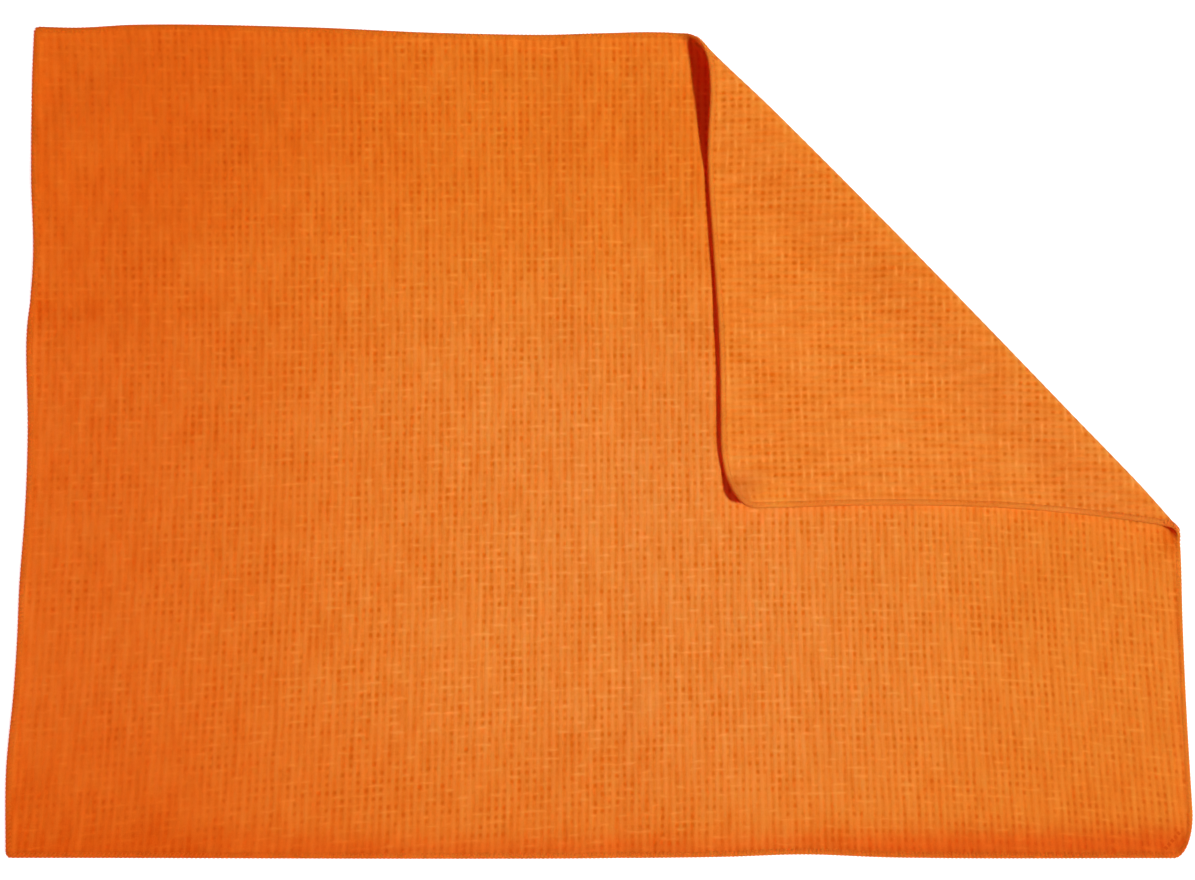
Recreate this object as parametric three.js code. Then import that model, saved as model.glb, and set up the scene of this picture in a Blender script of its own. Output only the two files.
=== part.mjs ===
// Waffle-weave microfibre drying towel, lying flat with one corner folded over its face.
// Millimetres, +Z up. The long side runs along X and the cloth rests on the plane z = 0.
//
// The towel is drawn as it is cut, flat and unfolded, with x and y on the cloth.
// The fold is a straight diagonal at 45 degrees. "Across" is the distance along the fold's normal,
// which points to the far right corner, and "along" runs down the fold towards the right.
import * as THREE from 'three';

// Thickness of the cloth and of its hem, the hem's width, and the slope from one to the other
const CLOTH = 2.0;
const HEM = 2.4;
const HEM_WIDTH = 5;
const HEM_STEP = 3;

// Height of the folded layer's upper side where it lies on the layer below
const REST_TOP = 4.8;

// Corners of the cut cloth: the left ones as points, the rounded ones by centre and half sizes
const TOP_LEFT = { x: -352.9, y: 242.7 };
const BOTTOM_LEFT = { x: -350.8, y: -244.4 };
const FAR_CORNER = { x: 297, y: 220.4, halfWidth: 44, halfHeight: 19 };
const NEAR_CORNER = { x: 338.5, y: -224, halfWidth: 12.5, halfHeight: 26.8 };
const CORNER_BLUNT = 1.5;
const TIP_BLUNT = 0.6;

// Edges of the cut cloth, each a few stations joined by a smooth curve
const LEFT_EDGE = [
  { y: -244.4, x: -350.8 },
  { y: -195, x: -352.4 },
  { y: -150, x: -349.9 },
  { y: -120, x: -349.1 },
  { y: -90, x: -349.0 },
  { y: -45, x: -347.4 },
  { y: 0, x: -347.6 },
  { y: 58, x: -350.4 },
  { y: 95, x: -348.2 },
  { y: 150, x: -351.0 },
  { y: 200, x: -352.9 },
  { y: 242.7, x: -352.9 },
];
const TOP_EDGE = [
  { x: -352.9, y: 242.7 },
  { x: -328, y: 242.9 },
  { x: -295, y: 245.8 },
  { x: -190, y: 247.8 },
  { x: -115, y: 247.0 },
  { x: -45, y: 248.2 },
  { x: 30, y: 252.0 },
  { x: 46, y: 250.7 },
  { x: 68, y: 245.3 },
  { x: 125, y: 246.5 },
  { x: 180, y: 243.8 },
  { x: 240, y: 240.3 },
  { x: 297, y: 239.4 },
];
const RIGHT_EDGE = [
  { y: -224, x: 351.0 },
  { y: -165, x: 348.8 },
  { y: -110, x: 347.6 },
  { y: -60, x: 347.2 },
  { y: -30, x: 345.0 },
  { y: 65, x: 337.9 },
  { y: 140, x: 337.8 },
  { y: 220.4, x: 341 },
];
const BOTTOM_EDGE = [
  { x: -350.8, y: -244.4 },
  { x: 60, y: -247.6 },
  { x: 112, y: -246.6 },
  { x: 164, y: -248.8 },
  { x: 338.5, y: -250.8 },
];

// The folded edge: how far out its nose reaches, how high the roll stands,
// and how long the upper layer takes to come down onto the lower one
const FOLD = [
  { along: -160, nose: 206.8, loft: 15.0, ramp: 66 },
  { along: -122, nose: 207.0, loft: 15.0, ramp: 62 },
  { along: -88, nose: 208.6, loft: 14.0, ramp: 56 },
  { along: -50, nose: 209.5, loft: 13.0, ramp: 50 },
  { along: 60, nose: 210.2, loft: 12.0, ramp: 44 },
  { along: 190, nose: 209.3, loft: 11.5, ramp: 42 },
  { along: 245, nose: 208.9, loft: 11.0, ramp: 40 },
  { along: 275, nose: 207.3, loft: 11.0, ramp: 38 },
  { along: 295, nose: 205.5, loft: 11.0, ramp: 36 },
];

// The folded corner's tip curls up, by less and less up to this distance from the point that curls most
const TIP = { x: 341, y: 222 };
const TIP_LIFT = 8;
const TIP_REACH = 27;

// Soft package creases and wrinkles, as ridges (height above 0) or troughs on the cloth's face.
// They are softer on the folded layer, and fade before the roll and under the folded corner.
const CREASES = [
  { x1: -352, y1: 74, x2: 345, y2: 68, height: -0.5, width: 13 },
  { x1: 0, y1: 255, x2: 0, y2: -255, height: -0.5, width: 13 },
  { x1: 15, y1: -96, x2: 180, y2: -96, height: -0.3, width: 13 },
  { x1: -352, y1: 90, x2: -285, y2: 78, height: 0.9, width: 15 },
  { x1: -348, y1: 150, x2: -290, y2: 205, height: 0.9, width: 17 },
  { x1: -350, y1: 195, x2: -310, y2: 228, height: -0.6, width: 15 },
  { x1: -55, y1: 245, x2: -45, y2: 60, height: -0.5, width: 22 },
  { x1: -25, y1: 240, x2: -15, y2: 20, height: 0.5, width: 20 },
  { x1: -45, y1: -178, x2: 0, y2: -160, height: -0.5, width: 15 },
];
const FOLDED_SHARE = 0.6;
const ROLL_GAP = 5;
const ROLL_FADE = 30;
const COVERED = { x: 30, y: -70, border: 25 };

// Mesh spacing
const ROW_STEP = 13;
const POINT_STEP = 17;
const BEND_STEPS = 8;
const CORNER_LENGTH = 12;
const CORNER_STEP = 6;
const TIP_LENGTH = 16;
const TIP_STEP = 5;
const EDGE_SAMPLES = 60;
const ARC_SAMPLES = 12;

const DIAGONAL = Math.SQRT1_2;
const COLOUR = new THREE.Color('#e8702a');

const smoothStep = (value) => THREE.MathUtils.smoothstep(value, 0, 1);
const acrossOf = (x, y) => (x + y) * DIAGONAL;
const alongOf = (x, y) => (x - y) * DIAGONAL;

// Smooth curve through a table's rows: cubic pieces, with the mean of the two neighbouring chords as slopes
function readTable(table, input, output, value) {
  const last = table.length - 1;
  const at = THREE.MathUtils.clamp(value, table[0][input], table[last][input]);
  const chord = (i) => (table[i + 1][output] - table[i][output]) / (table[i + 1][input] - table[i][input]);
  const slope = (i) => (chord(Math.max(i - 1, 0)) + chord(Math.min(i, last - 1))) / 2;
  let i = 0;
  while (i < last - 1 && at > table[i + 1][input]) i += 1;
  const span = table[i + 1][input] - table[i][input];
  const s = (at - table[i][input]) / span;
  const rise = table[i + 1][output] - table[i][output];
  const start = slope(i) * span;
  const end = slope(i + 1) * span;
  return table[i][output] + s * start
    + s * s * (3 * rise - 2 * start - end)
    + s * s * s * (start + end - 2 * rise);
}

const noseAt = (along) => readTable(FOLD, 'along', 'nose', along);
const loftAt = (along) => readTable(FOLD, 'along', 'loft', along);
const rampAt = (along) => readTable(FOLD, 'along', 'ramp', along);
const bendStart = (along) => noseAt(along) - loftAt(along) / 2;
const bendLength = (along) => Math.PI * (loftAt(along) - CLOTH) / 2;

// The two sides of the cut cloth, each from the bottom left corner round to the far right corner
function sampleEdge(table, input, output, toPoint) {
  const first = table[0][input];
  const last = table[table.length - 1][input];
  const points = [];
  for (let k = 0; k <= EDGE_SAMPLES; k += 1) {
    const value = first + (last - first) * k / EDGE_SAMPLES;
    points.push(toPoint(value, readTable(table, input, output, value)));
  }
  return points;
}

function sampleArc(centreX, centreY, radiusX, radiusY, fromDegrees, toDegrees) {
  const points = [];
  for (let k = 1; k < ARC_SAMPLES; k += 1) {
    const angle = THREE.MathUtils.degToRad(fromDegrees + (toDegrees - fromDegrees) * k / ARC_SAMPLES);
    points.push([centreX + radiusX * Math.cos(angle), centreY + radiusY * Math.sin(angle)]);
  }
  return points;
}

// The point of the far corner that reaches furthest across, where the two sides meet
const tipTurn = Math.atan2(FAR_CORNER.halfHeight, FAR_CORNER.halfWidth);
const tipDegrees = THREE.MathUtils.radToDeg(tipTurn);
const farTip = [
  FAR_CORNER.x + FAR_CORNER.halfWidth * Math.cos(tipTurn),
  FAR_CORNER.y + FAR_CORNER.halfHeight * Math.sin(tipTurn),
];
const farArc = (from, to) => sampleArc(
  FAR_CORNER.x, FAR_CORNER.y, FAR_CORNER.halfWidth, FAR_CORNER.halfHeight, from, to,
);

const upperSide = [
  ...sampleEdge(LEFT_EDGE, 'y', 'x', (y, x) => [x, y]),
  ...sampleEdge(TOP_EDGE, 'x', 'y', (x, y) => [x, y]),
  ...farArc(90, tipDegrees),
  farTip,
];
const lowerSide = [
  ...sampleEdge(BOTTOM_EDGE, 'x', 'y', (x, y) => [x, y]),
  ...sampleArc(NEAR_CORNER.x, NEAR_CORNER.y, NEAR_CORNER.halfWidth, NEAR_CORNER.halfHeight, -90, 0),
  ...sampleEdge(RIGHT_EDGE, 'y', 'x', (y, x) => [x, y]),
  ...farArc(0, tipDegrees),
  farTip,
];

// Rows of the mesh run along the fold. A row's level is its distance across the cloth,
// shifted near the fold so that rows follow the roll's own slightly bowed and tapered shape.
const FOLD_MIDDLE = 60;
const BEND_LEVEL = bendStart(FOLD_MIDDLE);
const BEND_SPAN = bendLength(FOLD_MIDDLE);
const BLEND = 80;
const SEARCH_STEPS = 8;

const bowShare = (across) => smoothStep((across - BEND_LEVEL + BLEND) / BLEND);

function levelOf(across, along) {
  const past = across - bendStart(along);
  if (past <= 0) return Math.min(across - (bendStart(along) - BEND_LEVEL) * bowShare(across), BEND_LEVEL);
  const bend = bendLength(along);
  return past < bend ? BEND_LEVEL + past * BEND_SPAN / bend : BEND_LEVEL + BEND_SPAN + past - bend;
}

function acrossAt(level, along) {
  const past = level - BEND_LEVEL;
  if (past > BEND_SPAN) return bendStart(along) + bendLength(along) + past - BEND_SPAN;
  if (past >= 0) return bendStart(along) + past * bendLength(along) / BEND_SPAN;
  let across = level;
  for (let k = 0; k < SEARCH_STEPS; k += 1) {
    across = level + (bendStart(along) - BEND_LEVEL) * bowShare(across);
  }
  return across;
}

const toLevels = (side) => side.map(([x, y]) => {
  const along = alongOf(x, y);
  return { level: levelOf(acrossOf(x, y), along), along };
});
const upperLevels = toLevels(upperSide);
const lowerLevels = toLevels(lowerSide);

function sideAlong(levels, level) {
  let i = 0;
  while (i < levels.length - 2 && levels[i + 1].level < level) i += 1;
  const share = (level - levels[i].level) / (levels[i + 1].level - levels[i].level);
  return levels[i].along + (levels[i + 1].along - levels[i].along) * THREE.MathUtils.clamp(share, 0, 1);
}

// Height of the creases at a point of the cut cloth: a bell across each line, fading past its ends
function creaseHeight(x, y) {
  let height = 0;
  for (const crease of CREASES) {
    const dx = crease.x2 - crease.x1;
    const dy = crease.y2 - crease.y1;
    const share = ((x - crease.x1) * dx + (y - crease.y1) * dy) / (dx * dx + dy * dy);
    const nearest = THREE.MathUtils.clamp(share, 0, 1);
    const away = Math.hypot(x - crease.x1 - nearest * dx, y - crease.y1 - nearest * dy);
    height += crease.height * Math.exp(-((away / crease.width) ** 2));
  }
  return height;
}

// The folded cloth. The back of the cloth lies on the plane, rolls round a half circle as high as the loft,
// and comes down to its rest height. "depth" is measured from the back towards the face.
function foldPoint(across, along, depth) {
  const past = across - bendStart(along);
  const bend = bendLength(along);
  const loft = loftAt(along);
  let reach = across;
  let height = 0;
  let towards = [0, 1];
  if (past > 0 && past < bend) {
    const turn = Math.PI * past / bend;
    reach = bendStart(along) + loft / 2 * Math.sin(turn);
    height = loft / 2 * (1 - Math.cos(turn));
    towards = [-Math.sin(turn), Math.cos(turn)];
  }
  if (past >= bend) {
    const run = past - bend;
    const share = THREE.MathUtils.clamp(run / rampAt(along), 0, 1);
    const fall = (loft - REST_TOP) * 6 * share * (1 - share) / rampAt(along);
    const length = Math.hypot(fall, 1);
    reach = bendStart(along) - run;
    height = loft - (loft - REST_TOP) * smoothStep(share);
    towards = [fall / length, -1 / length];
  }
  reach += depth * towards[0];
  height += depth * towards[1];
  return [(reach + along) * DIAGONAL, (reach - along) * DIAGONAL, height];
}

// 1 under the folded corner, 0 outside it, with a soft border
const coveredShare = (x, y) => smoothStep(Math.min(x - COVERED.x, y - COVERED.y) / COVERED.border);

// 1 on the flat cloth, 0 from where the roll begins
const flatShare = (past) => smoothStep((-past - ROLL_GAP) / ROLL_FADE);

// The folded cloth with its creases and its lifted tip
function sheetPoint(across, along, depth) {
  const x = (across + along) * DIAGONAL;
  const y = (across - along) * DIAGONAL;
  const point = foldPoint(across, along, depth);
  const past = across - bendStart(along);
  const run = past - bendLength(along);
  if (run > 0) {
    const lift = TIP_LIFT * smoothStep(1 - Math.hypot(x - TIP.x, y - TIP.y) / TIP_REACH);
    const settled = smoothStep(run / rampAt(along));
    point[2] += settled * (lift - creaseHeight(x, y) * FOLDED_SHARE);
  }
  if (past < 0 && depth > 0) {
    point[2] += creaseHeight(x, y) * flatShare(past) * (1 - coveredShare(point[0], point[1]));
  }
  return point;
}

// Evenly divided stations between two levels, the first included and the last left to the next stretch
function divide(from, to, step) {
  const count = Math.max(1, Math.round((to - from) / step));
  return Array.from({ length: count }, (_, k) => from + (to - from) * k / count);
}

const firstLevel = acrossOf(BOTTOM_LEFT.x, BOTTOM_LEFT.y) + CORNER_BLUNT;
const lastLevel = levelOf(acrossOf(...farTip), alongOf(...farTip)) - TIP_BLUNT;
const topLeftLevel = acrossOf(TOP_LEFT.x, TOP_LEFT.y);
const nearStart = acrossOf(NEAR_CORNER.x, NEAR_CORNER.y - NEAR_CORNER.halfHeight);
const nearEnd = acrossOf(NEAR_CORNER.x + NEAR_CORNER.halfWidth, NEAR_CORNER.y);
const rampEnd = BEND_LEVEL + BEND_SPAN + rampAt(FOLD_MIDDLE);
const levels = [
  ...divide(firstLevel, firstLevel + CORNER_LENGTH, CORNER_STEP),
  ...divide(firstLevel + CORNER_LENGTH, topLeftLevel, ROW_STEP),
  ...divide(topLeftLevel, nearStart, ROW_STEP),
  ...divide(nearStart, nearEnd, ROW_STEP / 2),
  ...divide(nearEnd, BEND_LEVEL, ROW_STEP),
  ...divide(BEND_LEVEL, BEND_LEVEL + BEND_SPAN, BEND_SPAN / BEND_STEPS),
  ...divide(BEND_LEVEL + BEND_SPAN, rampEnd, ROW_STEP / 2),
  ...divide(rampEnd, lastLevel - TIP_LENGTH, ROW_STEP),
  ...divide(lastLevel - TIP_LENGTH, lastLevel, TIP_STEP),
  lastLevel,
];

// Stations along one row: the cut edge, the hem's inner line and the cloth beside it at both ends,
// and even steps between them. Rows too short for that are hem all along.
function rowStations(length) {
  const hemEnd = HEM_WIDTH / DIAGONAL;
  const clothStart = hemEnd + HEM_STEP;
  if (length < 4 * clothStart) {
    const few = Math.max(1, Math.round(length / POINT_STEP));
    return Array.from({ length: few + 1 }, (_, k) => ({ at: length * k / few, thick: HEM }));
  }
  const middle = [...divide(clothStart, length - clothStart, POINT_STEP), length - clothStart];
  return [
    { at: 0, thick: HEM },
    { at: hemEnd, thick: HEM },
    ...middle.map((at) => ({ at, thick: CLOTH })),
    { at: length - hemEnd, thick: HEM },
    { at: length, thick: HEM },
  ];
}

const positions = [];
const triangles = [];

function addVertex(point) {
  positions.push(...point);
  return positions.length / 3 - 1;
}

const rows = levels.map((level) => {
  const start = sideAlong(upperLevels, level);
  const length = sideAlong(lowerLevels, level) - start;
  return rowStations(length).map(({ at, thick }) => {
    const along = start + at;
    const across = acrossAt(level, along);
    return {
      share: at / length,
      face: addVertex(sheetPoint(across, along, thick)),
      back: addVertex(sheetPoint(across, along, 0)),
    };
  });
});

// A strip of triangles between two rows that may have different numbers of points
function stitch(near, far) {
  let i = 0;
  let j = 0;
  while (i < near.length - 1 || j < far.length - 1) {
    const stepNear = j === far.length - 1
      || (i < near.length - 1 && near[i + 1].share + near[i].share <= far[j + 1].share + far[j].share);
    const corner = stepNear ? near[i + 1] : far[j + 1];
    triangles.push(near[i].face, corner.face, far[j].face);
    triangles.push(near[i].back, far[j].back, corner.back);
    if (stepNear) i += 1;
    else j += 1;
  }
}

// The cut edge between two neighbouring points of the outline, listed with the cloth on the left
function closeEdge(from, to) {
  triangles.push(from.back, to.back, to.face);
  triangles.push(from.back, to.face, from.face);
}

for (let k = 0; k < rows.length - 1; k += 1) {
  const near = rows[k];
  const far = rows[k + 1];
  stitch(near, far);
  closeEdge(far[0], near[0]);
  closeEdge(near[near.length - 1], far[far.length - 1]);
}
const firstRow = rows[0];
const lastRow = rows[rows.length - 1];
for (let k = 0; k < firstRow.length - 1; k += 1) closeEdge(firstRow[k], firstRow[k + 1]);
for (let k = lastRow.length - 1; k > 0; k -= 1) closeEdge(lastRow[k], lastRow[k - 1]);

const geometry = new THREE.BufferGeometry();
geometry.setAttribute('position', new THREE.Float32BufferAttribute(positions, 3));
geometry.setIndex(triangles);
geometry.computeBoundingBox();
const centre = geometry.boundingBox.getCenter(new THREE.Vector3());
geometry.translate(-centre.x, -centre.y, -geometry.boundingBox.min.z);
geometry.computeVertexNormals();

const towel = new THREE.Mesh(
  geometry,
  new THREE.MeshStandardMaterial({ color: COLOUR, roughness: 0.95, metalness: 0 }),
);
towel.name = 'towel';

const part = new THREE.Group();
part.add(towel);

export default part;
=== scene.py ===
import bpy
import numpy as np
from mathutils import Euler, Matrix, Vector


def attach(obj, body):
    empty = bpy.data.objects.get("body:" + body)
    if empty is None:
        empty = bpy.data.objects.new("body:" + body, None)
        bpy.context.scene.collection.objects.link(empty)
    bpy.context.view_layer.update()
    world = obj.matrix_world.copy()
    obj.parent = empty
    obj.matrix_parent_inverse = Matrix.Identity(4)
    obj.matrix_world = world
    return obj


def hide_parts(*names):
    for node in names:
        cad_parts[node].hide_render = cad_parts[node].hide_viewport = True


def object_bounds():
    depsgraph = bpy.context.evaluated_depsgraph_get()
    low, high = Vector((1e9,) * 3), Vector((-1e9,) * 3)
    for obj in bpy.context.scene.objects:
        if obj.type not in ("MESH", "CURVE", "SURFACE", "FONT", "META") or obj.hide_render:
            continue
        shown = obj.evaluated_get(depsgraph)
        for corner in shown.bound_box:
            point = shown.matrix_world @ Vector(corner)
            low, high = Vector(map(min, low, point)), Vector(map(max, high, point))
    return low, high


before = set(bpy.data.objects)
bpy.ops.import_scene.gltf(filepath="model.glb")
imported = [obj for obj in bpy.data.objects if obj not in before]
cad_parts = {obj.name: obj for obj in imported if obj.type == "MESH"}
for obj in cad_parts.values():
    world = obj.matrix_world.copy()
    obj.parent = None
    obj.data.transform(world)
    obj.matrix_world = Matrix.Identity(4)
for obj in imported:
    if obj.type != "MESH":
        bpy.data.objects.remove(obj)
cad_low, cad_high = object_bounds()

MM = 0.001
FLAT_SIZE = (0.70, 0.50)
HALF_LENGTH = FLAT_SIZE[0] / 2 / MM
HALF_WIDTH = FLAT_SIZE[1] / 2 / MM
DIAGONAL = np.sqrt(0.5)

# Cloth and hem: thickness, how far the hem reaches in from the cut edge, where the relief of the weave starts
# and where it is whole, and how high the folded corner's upper side lies at rest
CLOTH = 2.0
HEM_WIDTH = 5.0
WEAVE_START = 4.5
WEAVE_WHOLE = 6.5
REST_TOP = 4.8

# Edges of the cut cloth. Left and right: y, x. Top and bottom: x, y.
LEFT_EDGE = [
    (-244.4, -350.8), (-195, -352.4), (-150, -349.9), (-120, -349.1), (-90, -349.0), (-45, -347.4),
    (0, -347.6), (58, -350.4), (95, -348.2), (150, -351.0), (200, -352.9), (242.7, -352.9),
]
RIGHT_EDGE = [
    (-224, 351.0), (-165, 348.8), (-110, 347.6), (-60, 347.2), (-30, 345.0), (65, 337.9), (140, 337.8),
    (220.4, 341),
]
TOP_EDGE = [
    (-352.9, 242.7), (-328, 242.9), (-295, 245.8), (-190, 247.8), (-115, 247.0), (-45, 248.2), (30, 252.0),
    (46, 250.7), (68, 245.3), (125, 246.5), (180, 243.8), (240, 240.3), (297, 239.4),
]
BOTTOM_EDGE = [(-350.8, -244.4), (60, -247.6), (112, -246.6), (164, -248.8), (338.5, -250.8)]

# Rounded corners: centre and the two radii
FAR_CORNER = (297.0, 220.4, 44.0, 19.0)
NEAR_CORNER = (338.5, -224.0, 12.5, 26.8)
LEFT_CORNER_RADIUS = 3.0

# The folded edge. Along, how far out its nose reaches, how high the roll stands,
# and how long the upper layer takes to come down onto the lower one.
FOLD = np.array([
    (-160, 206.8, 15.0, 66), (-122, 207.0, 15.0, 62), (-88, 208.6, 14.0, 56), (-50, 209.5, 13.0, 50),
    (60, 210.2, 12.0, 44), (190, 209.3, 11.5, 42), (245, 208.9, 11.0, 40), (275, 207.3, 11.0, 38),
    (295, 205.5, 11.0, 36),
])

# The folded corner's tip curls up, by less and less up to this distance from the point that curls most
TIP = (341.0, 222.0)
TIP_LIFT = 8.0
TIP_REACH = 27.0

# Soft package creases and wrinkles on the cut cloth: x1, y1, x2, y2, height (a trough below 0), half width
CREASES = [
    (-352, 74, 345, 68, -0.5, 13),
    (0, 255, 0, -255, -0.5, 13),
    (15, -96, 180, -96, -0.3, 13),
    (-352, 90, -285, 78, 0.9, 15),
    (-348, 150, -290, 205, 0.9, 17),
    (-350, 195, -310, 228, -0.6, 15),
    (-55, 245, -45, 60, -0.5, 22),
    (-25, 240, -15, 20, 0.5, 20),
    (-45, -178, 0, -160, -0.5, 15),
    (-352, 76, -300, 74, -0.5, 5),
    (-352, 74, 200, 70, -0.2, 4),
    (205, 70, 345, 68, -0.5, 3),
    (0, 250, 0, -250, -0.2, 3),
    (60, -238, 330, -240, -0.6, 9),
]

# How much of a crease shows on the folded corner. On the lower layer: how far from the bend the creases
# start, how long they take to come to their whole depth, and how far under the folded corner they are gone.
FOLDED_SHARE = 0.6
ROLL_GAP = 5.0
ROLL_FADE = 30.0
COVER_FADE = 25.0

# Waffle weave: a cell's width and height, the relief of its ribs, and as shares of that relief: the height of
# the ribs across them, its mean, and how much of it the roll presses flat
CELL_WIDTH = 4.33
CELL_HEIGHT = 4.87
RELIEF = 0.6
CROSS_RIB = 0.6
MEAN_HEIGHT = 0.7
ROLL_PRESSED = 0.75

# The mesh has three columns and two rows to a cell, and reaches this many cells to each side of the middle.
# A point nearer to the hem than this share of a step moves onto it. Points that agree to so many decimal
# places are one.
COLUMNS_PER_CELL = 3
ROWS_PER_CELL = 2
CELLS_ACROSS = 84
CELLS_UP = 60
SNAP = 0.3
DECIMALS = 3

# Hidden cloth is merged in blocks of two by two cells, and where it can be of four by four. Rows and columns
# have fewer cells than the last number, which keeps the blocks' own numbers apart.
BLOCK_CELLS = (2, 4)
MOST_CELLS = 1000

# Where cloth can be seen: the face up to this far past the bend and up to this far under the folded corner's
# edge, and the back up to this far before the bend
FACE_SEEN = 6.0
UNDER_SEEN = 7.0
BACK_SEEN = 2.0

# Sway of the weave's columns and of its rows on the cut cloth: power of the place along the half length,
# power of the place along the half width, and how far they sway
COLUMN_SWAY = [(0, 1, -3.0), (2, 0, -5.0), (1, 1, -2.5), (3, 0, 1.5), (1, 2, 10.0)]
ROW_SWAY = [
    (1, 0, 11.5), (2, 0, -11.0), (1, 1, -1.0), (0, 2, -2.5),
    (3, 0, -7.0), (2, 1, 7.0), (1, 2, 1.0), (0, 3, 1.0),
]

# Places that depend on each other are found in turns: how many turns it takes
TURNS = 6
EDGE_TURNS = 5

# Hem's rings from the face round the cut edge to the back: how far inside the edge, and the depth of the
# ring on the lower layer and on the folded one, whose back is the side that shows. The needle's line is a
# groove.
NEEDLE_LINE = 3.3
HEM_RINGS = [
    (4.2, 2.2, 2.15),
    (NEEDLE_LINE, 2.1, 2.05),
    (2.4, 2.3, 2.25),
    (0.8, 2.3, 2.2),
    (0.1, 1.7, 1.7),
    (0.1, 0.4, 0.3),
    (0.8, 0.0, -0.3),
    (2.4, 0.0, -0.4),
    (NEEDLE_LINE, 0.0, 0.1),
    (4.2, 0.0, -0.2),
]

# Overlock: stitch length, the thread's half thickness, and its way over the face from the needle's line round
# the cut edge, as distance inside the edge and depth. The needle's own thread dips at both ends of a stitch,
# and its way is a share of the stitch and a depth. The stitches' direction is taken this far inside the edge,
# and the cut edge is measured in so many steps.
STITCH = 2.5
THREAD = 0.2
LOOPER_WAY = [(3.4, 2.05), (2.6, 2.3), (1.6, 2.35), (0.7, 2.3), (0.05, 1.8), (-0.05, 1.1), (0.1, 0.4)]
NEEDLE_WAY = [(0.1, 1.9), (0.45, 2.15), (0.8, 1.9)]
DIRECTION_INSET = 1.0
BORDER_STEPS = 8000

# Stitched seam across the near right corner: its two ends, its stitch's length, how far off its line a stitch
# starts to pale and where it ends, and the share of the seam's half length from which it pales
SEAM = (342.5, -235.0, 333.0, -245.5)
SEAM_LENGTH = np.hypot(SEAM[2] - SEAM[0], SEAM[3] - SEAM[1])
SEAM_STITCH = 3.0
SEAM_DARK = 0.7
SEAM_EDGE = 1.4
SEAM_WHOLE = 0.9

# Painted shade in creases and along rims, darker where shade falls in them: x1, y1, x2, y2, tone, half width
CREASE_SHADE_LINES = [
    (205, 70, 345, 68, -0.14, 3),
    (342, -46, 342, -62, -0.32, 5),
    (0, 250, 0, -250, -0.04, 2.5),
    (-352, 74, 200, 70, -0.04, 5),
    (-350, -242, 345, -248, -0.12, 13),
    (-350, -235, -240, -238, -0.1, 16),
    (-350, -215, -270, -225, -0.12, 30),
    (-350, 72, -275, 71, -0.13, 14),
    (120, -238, 335, -240, -0.1, 8),
]

# Painted shade of the light falling off across the cut cloth, as ramps: direction x and y, where the ramp
# starts along it, how long it rises, and how high. The face is darker towards its four sides, and the back
# away from the tip.
FALLOFF_SHADE_RAMPS = [(-1, 0, 0, 250, 0.58), (1, 0, 60, 240, 0.72), (0, 1, -10, 190, 0.90), (0, -1, 150, 80, 0.42)]
BACK_FALLOFF_SHADE = 0.2
BACK_FALLOFF_RAMP = (-1, 0, -330, 180, 0.3)

# Red painted shade, redder where the light is weaker: towards the left, and towards the top and the bottom,
# which the last ramp halves on the right
RED_SHADE_LEFT = (-1, 0, 60, 290, 0.95)
RED_SHADE_ENDS = [(0, 1, 90, 90, 0.25), (0, -1, 130, 100, 0.30)]
ENDS_HALVED = (1, 0, 0, 100, 0.5)

# Painted shade as a redder band along the bottom hem, where the cloth turns down away from the light: the
# ramp by which it grows to the right, its width and its redness, each with what is added there, and the share
# of it that is lost at the cut edge, from so far inside. Up the lower left edge it goes on as a narrow band:
# the ramp of its redness and its width.
BAND_RIGHT = (1, 0, 50, 200, 1.0)
BAND_WIDTH = (22.0, 8.0)
BAND_RED = (0.6, 0.5)
BAND_LOST = 0.6
BAND_RIM = 6.0
SIDE_DOWN = (0, -1, 130, 50, 0.4)
SIDE_WIDTH = 5.0

# Dye and painted light: from the bottom of a cell, whose dark end is the painted shade of the pits, to the
# top of a rib, whose light end is partly a painted highlight, and what it is multiplied by for the painted
# shade of the light falling off, for the red painted shade and on the back
DYE_AND_RELIEF_SHADE = (
    (0.0, (0.76, 0.128, 0.004)),
    (0.5, (0.89, 0.238, 0.033)),
    (1.0, (0.97, 0.330, 0.075)),
)
FALLOFF_SHADE_TINT = (0.98, 0.86, 0.42, 1.0)
RED_SHADE_TINT = (0.91, 0.60, 0.45, 1.0)
BACK_DYE = (1.03, 1.03, 0.98, 1.0)

# Tones: how far each feature moves the colour along the dye's range, from the plain cloth's mean, and where
# the hem's thread lies on that range. The ribs' lighter tone is partly a painted highlight, and the pits'
# darker tone a painted shade. On the back, ribs have a share of their tone, and the rows across them have a
# tone too.
# Cloth under the red painted shade keeps a share of its weave.
MEAN_TONE = 0.515
RIB_HIGHLIGHT_TONE = 0.31
PIT_SHADE_TONE = -0.4
BAR_TONE = 0.35
STREAK_TONE = 0.85
BLOTCH_TONE = 0.35
FUZZ_TONE = 0.65
NEEDLE_TONE = -0.08
SEAM_TONE = -0.6
THREAD_TONE = 0.52
FLUFF_TONE = 0.6
BACK_RIBS = 0.35
BACK_ROWS = 0.14
WEAVE_BLURRED = 0.55

# Wander of the ribs and of the rows, in cells, how sharp pits and bars are, and the fine relief of pits, bars
# and fuzz
RIB_WANDER = 0.35
ROW_WANDER = 0.3
PIT_SHARPNESS = 1.5
BAR_SHARPNESS = 3.0
PIT_RISE = -1.0
BAR_RISE = 0.6
FUZZ_RISE = 0.5

# Floor, in metres: half its size, its level, its grey, how strongly it glows, the borders inside which it
# doesn't (x, y and across) and the width of their soft edge
FLOOR_HALF = 3.0
FLOOR_LEVEL = -0.0003
FLOOR_GREY = 0.5
FLOOR_GLOW = 0.8
GLOW_BORDERS = (0.343, 0.239, 0.205)
GLOW_SOFT = 0.005

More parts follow.
